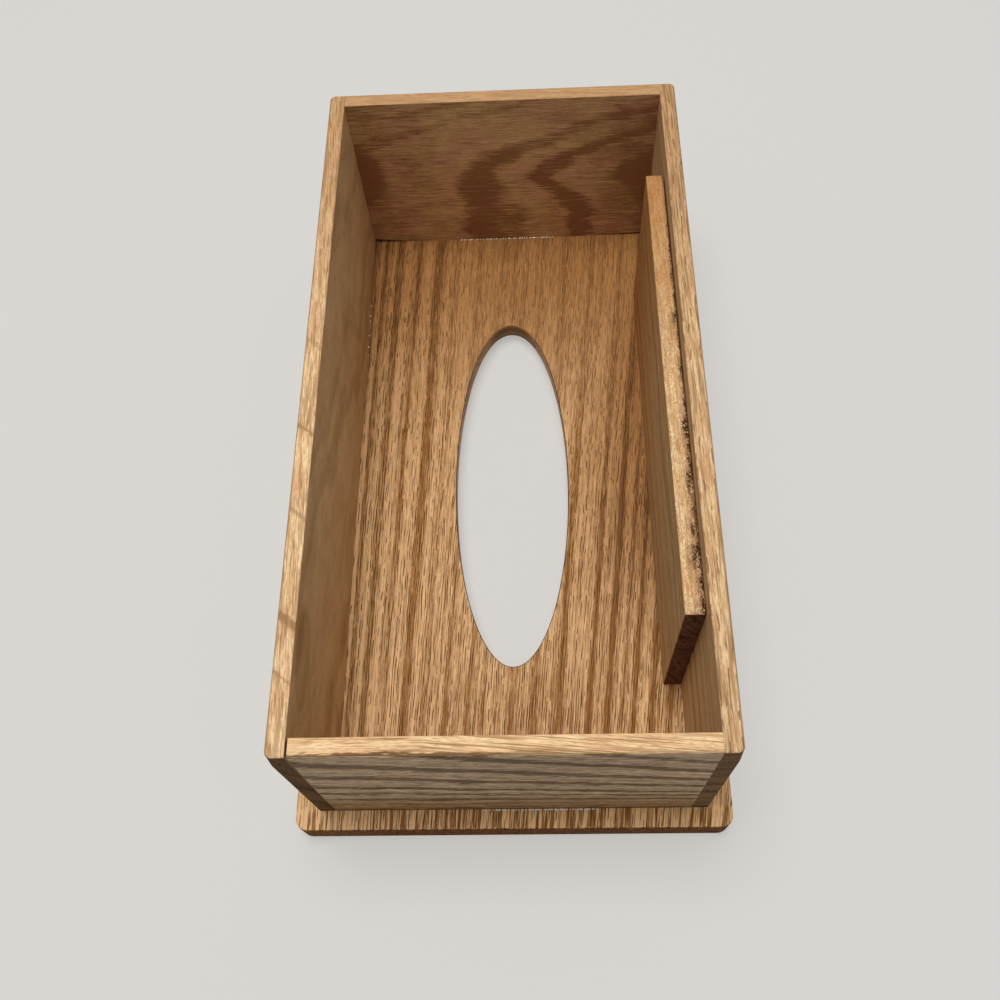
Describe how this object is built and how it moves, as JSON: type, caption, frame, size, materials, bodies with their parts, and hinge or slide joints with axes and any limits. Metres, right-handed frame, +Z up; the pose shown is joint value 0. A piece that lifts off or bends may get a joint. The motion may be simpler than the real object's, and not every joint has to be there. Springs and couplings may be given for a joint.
{
  "type": "tissue box cover",
  "caption": "Oak tissue box cover lying open side up: thin walls on an overhanging top panel with an oval tissue slot, and a loose spacer board that lifts out.",
  "frame": {"origin": "centre of the top panel's outer face, on which the cover lies with its open side up", "axes": "+Z up out of the open side, +Y along the box towards the back end, +X towards the right side, where the spacer board stands"},
  "size_m": [0.164, 0.2968, 0.0987],
  "materials": {
    "oak_panel": "satin clear varnish on flat-sawn red oak",
    "oak_walls": "satin clear varnish on thin red oak boards",
    "oak_spacer": "raw sawn red oak, stained dark on its front end and outer edge"
  },
  "bodies": {
    "cover": {"top_panel": "oak_panel", "left_side": "oak_walls", "right_side": "oak_walls", "front_end": "oak_walls", "back_end": "oak_walls"},
    "spacer": {"spacer_board": "oak_spacer"}
  },
  "joints": [
    {"name": "spacer_lift", "type": "slide", "parent": "cover", "child": "spacer", "axis": [0, 0, 1], "range_m": [0, 0.09]}
  ]
}
